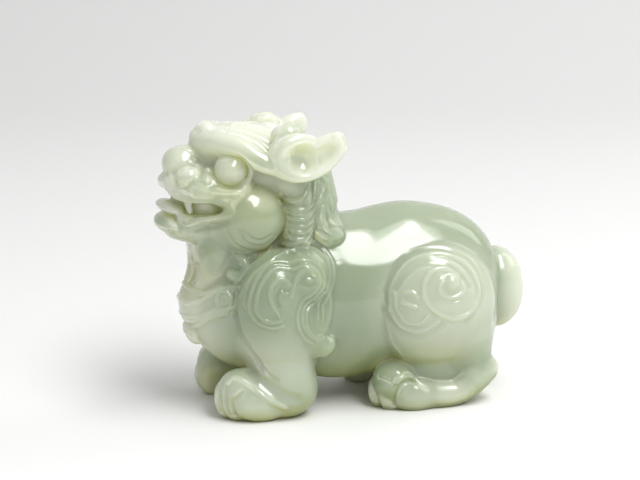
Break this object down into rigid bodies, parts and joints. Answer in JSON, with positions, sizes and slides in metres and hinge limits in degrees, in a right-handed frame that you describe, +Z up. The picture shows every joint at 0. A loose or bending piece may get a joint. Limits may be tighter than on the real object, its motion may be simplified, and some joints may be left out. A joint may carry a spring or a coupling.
{
  "type": "carved jade tea pet",
  "caption": "Palm-sized guardian beast carved from one piece of pale green jade, crouching on four flat paws, set beside the teapot on a tea tray.",
  "frame": {"origin": "on the surface it stands on, under the middle of its length and width", "axes": "-Y is the way the beast faces, +X is its left side, +Z is up"},
  "size_m": [0.046, 0.0936, 0.07],
  "materials": {
    "jade": "polished, slightly translucent"
  },
  "bodies": {
    "root": {"tea_pet": "jade"}
  },
  "joints": []
}
